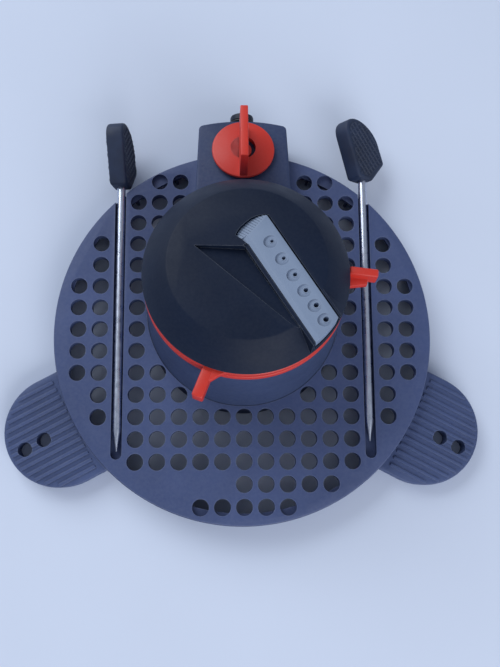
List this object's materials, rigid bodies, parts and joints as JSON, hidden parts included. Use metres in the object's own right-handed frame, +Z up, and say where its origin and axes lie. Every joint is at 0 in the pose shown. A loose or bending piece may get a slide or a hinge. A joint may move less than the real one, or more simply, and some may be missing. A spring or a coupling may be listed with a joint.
{
  "type": "turret lawn sprinkler",
  "caption": "Turbine-driven turret sprinkler on a round perforated base with ribbed wings, stored ground stakes, sector rings, a flow knob and a hose nipple.",
  "frame": {"origin": "on the ground, under the point where the turret's leaning axis meets the deck's upper face", "axes": "+X to the right, +Y towards the hose at the back, +Z up"},
  "size_m": [0.2784, 0.2509, 0.0966],
  "materials": {
    "anthracite": "fine-grained moulded, dark blue-grey",
    "wing_anthracite": "ribbed, fine-grained moulded, dark blue-grey",
    "black": "satin moulded, near black",
    "orange": "satin, red-orange",
    "light_grey": "fine-grained moulded, pale grey",
    "inner_white": "plain natural acetal",
    "seal": "plain",
    "steel": "drawn and pointed wire",
    "grip": "cross-ribbed on its broad faces"
  },
  "bodies": {
    "base": {"deck_plate": "anthracite", "base_frame": "anthracite", "wing_left": "wing_anthracite", "wing_right": "wing_anthracite", "bottom_cover": "black", "bottom_screw_1": "steel", "bottom_screw_2": "steel", "bottom_screw_3": "steel", "bottom_screw_4": "steel", "turret_housing": "anthracite", "turbine_housing": "inner_white", "stator_disc": "inner_white", "gear_base_plate": "inner_white", "lay_shaft": "steel", "gear_case": "inner_white", "bearing_bush": "light_grey", "shaft_seal": "seal", "thrust_washer": "steel", "trip_pin": "steel", "trip_spring": "steel", "valve_housing": "anthracite", "valve_body": "inner_white", "stem_seal": "seal", "inlet_duct": "black", "hose_nipple": "black", "nipple_oring": "seal", "inlet_strainer": "steel", "valve_cover": "black", "valve_screw_1": "steel", "valve_screw_2": "steel"},
    "head": {"head_cap": "black", "head_base": "black", "cap_screw_1": "steel", "cap_screw_2": "steel", "cap_screw_3": "steel", "nozzle_manifold": "inner_white", "strip_gasket": "seal", "nozzle_strip": "light_grey", "output_tube": "light_grey", "output_gear": "inner_white"},
    "reduction_3": {"compound_gear_3": "inner_white"},
    "reduction_2": {"compound_gear_2": "inner_white"},
    "reduction_1": {"compound_gear_1": "inner_white"},
    "turbine": {"turbine_wheel": "light_grey", "turbine_shaft": "steel", "turbine_pinion": "inner_white"},
    "upper_ring": {"sector_ring_upper": "orange"},
    "lower_ring": {"sector_ring_lower": "orange"},
    "knob": {"flow_knob": "orange", "valve_spool": "light_grey"},
    "trip": {"trip_lever": "light_grey"},
    "left_stake": {"stake_rod_left": "steel", "stake_grip_left": "grip"},
    "right_stake": {"stake_rod_right": "steel", "stake_grip_right": "grip"}
  },
  "joints": [
    {"name": "head_turn", "type": "hinge", "parent": "base", "child": "head", "pos_m": [0, 0.00766, 0.07447], "axis": [0, 0.1392, 0.9903], "continuous": true},
    {"name": "reduction_3_spin", "type": "hinge", "parent": "base", "child": "reduction_3", "pos_m": [0.0242, 0.00278, 0.03981], "axis": [0, 0.1392, 0.9903], "continuous": true},
    {"name": "reduction_2_spin", "type": "hinge", "parent": "base", "child": "reduction_2", "pos_m": [0, 0.00223, 0.03584], "axis": [0, 0.1392, 0.9903], "continuous": true},
    {"name": "reduction_1_spin", "type": "hinge", "parent": "base", "child": "reduction_1", "pos_m": [0.0242, 0.00181, 0.03287], "axis": [0, 0.1392, 0.9903], "continuous": true},
    {"name": "turbine_spin", "type": "hinge", "parent": "base", "child": "turbine", "pos_m": [0, 0.0007, 0.02495], "axis": [0, 0.1392, 0.9903], "continuous": true},
    {"name": "upper_ring_turn", "type": "hinge", "parent": "base", "child": "upper_ring", "pos_m": [0, 0.0071, 0.0705], "axis": [0, 0.1392, 0.9903], "range_deg": [-150, 40]},
    {"name": "lower_ring_turn", "type": "hinge", "parent": "base", "child": "lower_ring", "pos_m": [0, 0.0064, 0.06555], "axis": [0, 0.1392, 0.9903], "range_deg": [-50, 80]},
    {"name": "flow_knob_turn", "type": "hinge", "parent": "base", "child": "knob", "pos_m": [0, 0.09237, 0.03125], "axis": [0, 0.1392, 0.9903], "range_deg": [-90, 90]},
    {"name": "trip_lever_flip", "type": "hinge", "parent": "base", "child": "trip", "pos_m": [-0.03, 0.01446, 0.06543], "axis": [0, 0.1392, 0.9903], "range_deg": [-12, 12]},
    {"name": "left_stake_slide", "type": "slide", "parent": "base", "child": "left_stake", "axis": [0, 1, 0], "range_m": [0, 0.16]},
    {"name": "right_stake_slide", "type": "slide", "parent": "base", "child": "right_stake", "axis": [0, 1, 0], "range_m": [0, 0.16]}
  ],
  "couplings": [
    {"joint": "reduction_3_spin", "follows": "head_turn", "ratio": -3},
    {"joint": "reduction_2_spin", "follows": "head_turn", "ratio": 9},
    {"joint": "reduction_1_spin", "follows": "head_turn", "ratio": -27},
    {"joint": "turbine_spin", "follows": "head_turn", "ratio": 81}
  ]
}
